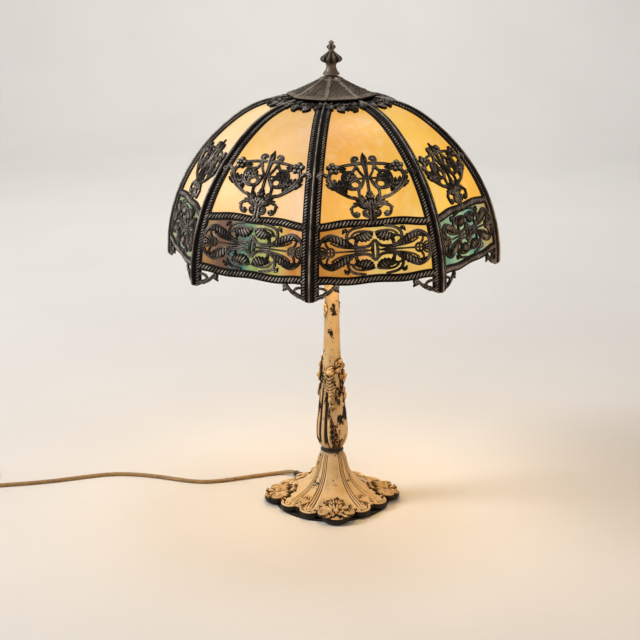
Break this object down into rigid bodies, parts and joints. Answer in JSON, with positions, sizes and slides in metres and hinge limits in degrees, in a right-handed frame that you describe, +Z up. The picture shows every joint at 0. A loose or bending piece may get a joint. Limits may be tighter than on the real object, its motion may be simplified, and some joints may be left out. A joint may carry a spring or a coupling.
{
  "type": "bent panel table lamp",
  "caption": "Table lamp with an eight-panel bent slag-glass shade under pierced cast overlays, a two-light cluster and a painted cast stem on a lobed base.",
  "frame": {"origin": "centre of the base's underside, on the surface the lamp stands on", "axes": "+Z up along the stem; -Y is the side seen from the front; +X to the right from the front"},
  "size_m": [0.7362, 0.4074, 0.5791],
  "materials": {
    "amber_glass": "opalescent, satin",
    "peach_glass": "opalescent, satin",
    "band_amber_glass": "opalescent, streaked",
    "band_green_glass": "opalescent, streaked",
    "bronze": "dark patina with worn grey highlights",
    "pewter": "pitted pewter grey",
    "brass": "aged",
    "steel": "plain",
    "cream_paint": "distressed cream paint over dark metal",
    "felt": "felt",
    "porcelain": "glazed ceramic",
    "bakelite": "moulded",
    "bulb_glass": "frosted, lit",
    "cord": "translucent gold cord",
    "plug_plastic": "moulded"
  },
  "bodies": {
    "lamp": {"felt_pad": "felt", "base_casting": "cream_paint", "bottom_nut": "steel", "center_pipe": "brass", "neck_collar": "bronze", "stem_casting": "cream_paint", "cluster_body": "brass", "riser_rod": "brass", "socket_cap_1": "brass", "socket_shell_1": "brass", "socket_core_1": "porcelain", "socket_cap_2": "brass", "socket_shell_2": "brass", "socket_core_2": "porcelain", "cord_bushing": "bakelite", "cord_lead": "cord", "cord_coil": "cord", "cord_tail": "cord", "plug": "plug_plastic"},
    "seat": {"seat_washer": "steel"},
    "shade": {"upper_glass_1": "amber_glass", "upper_glass_2": "amber_glass", "upper_glass_3": "amber_glass", "upper_glass_4": "amber_glass", "upper_glass_5": "peach_glass", "upper_glass_6": "peach_glass", "upper_glass_7": "peach_glass", "upper_glass_8": "peach_glass", "lower_glass_1": "band_amber_glass", "lower_glass_2": "band_green_glass", "lower_glass_3": "band_amber_glass", "lower_glass_4": "band_green_glass", "lower_glass_5": "band_amber_glass", "lower_glass_6": "band_green_glass", "lower_glass_7": "band_green_glass", "lower_glass_8": "band_green_glass", "rib_1": "bronze", "rib_2": "bronze", "rib_3": "bronze", "rib_4": "bronze", "rib_5": "bronze", "rib_6": "bronze", "rib_7": "bronze", "rib_8": "bronze", "filigree_1": "bronze", "filigree_2": "bronze", "filigree_3": "bronze", "filigree_4": "bronze", "filigree_5": "bronze", "filigree_6": "bronze", "filigree_7": "bronze", "filigree_8": "bronze", "glass_clips": "brass", "spider_plate": "brass", "crown_cap": "pewter"},
    "finial": {"finial": "pewter"},
    "key_1": {"socket_key_1": "bakelite"},
    "key_2": {"socket_key_2": "bakelite"},
    "bulb_1": {"bulb_1": "bulb_glass"},
    "bulb_2": {"bulb_2": "bulb_glass"}
  },
  "joints": [
    {"name": "shade_swivel", "type": "hinge", "parent": "lamp", "child": "seat", "pos_m": [0, 0, 0.506], "axis": [0, 0, 1], "continuous": true},
    {"name": "shade_lift", "type": "slide", "parent": "seat", "child": "shade", "axis": [0, 0, 1], "range_m": [0, 0.25]},
    {"name": "finial_turn", "type": "hinge", "parent": "shade", "child": "finial", "pos_m": [0, 0, 0.55], "axis": [0, 0, 1], "continuous": true},
    {"name": "key_1_turn", "type": "hinge", "parent": "lamp", "child": "key_1", "pos_m": [0.03677, -0.02, 0.37877], "axis": [0, -1, 0], "continuous": true},
    {"name": "key_2_turn", "type": "hinge", "parent": "lamp", "child": "key_2", "pos_m": [-0.03677, -0.02, 0.37877], "axis": [0, -1, 0], "continuous": true},
    {"name": "bulb_1_screw", "type": "hinge", "parent": "lamp", "child": "bulb_1", "pos_m": [0.03889, 0, 0.38089], "axis": [0.7071, 0, 0.7071], "continuous": true},
    {"name": "bulb_2_screw", "type": "hinge", "parent": "lamp", "child": "bulb_2", "pos_m": [-0.03889, 0, 0.38089], "axis": [-0.7071, 0, 0.7071], "continuous": true}
  ]
}
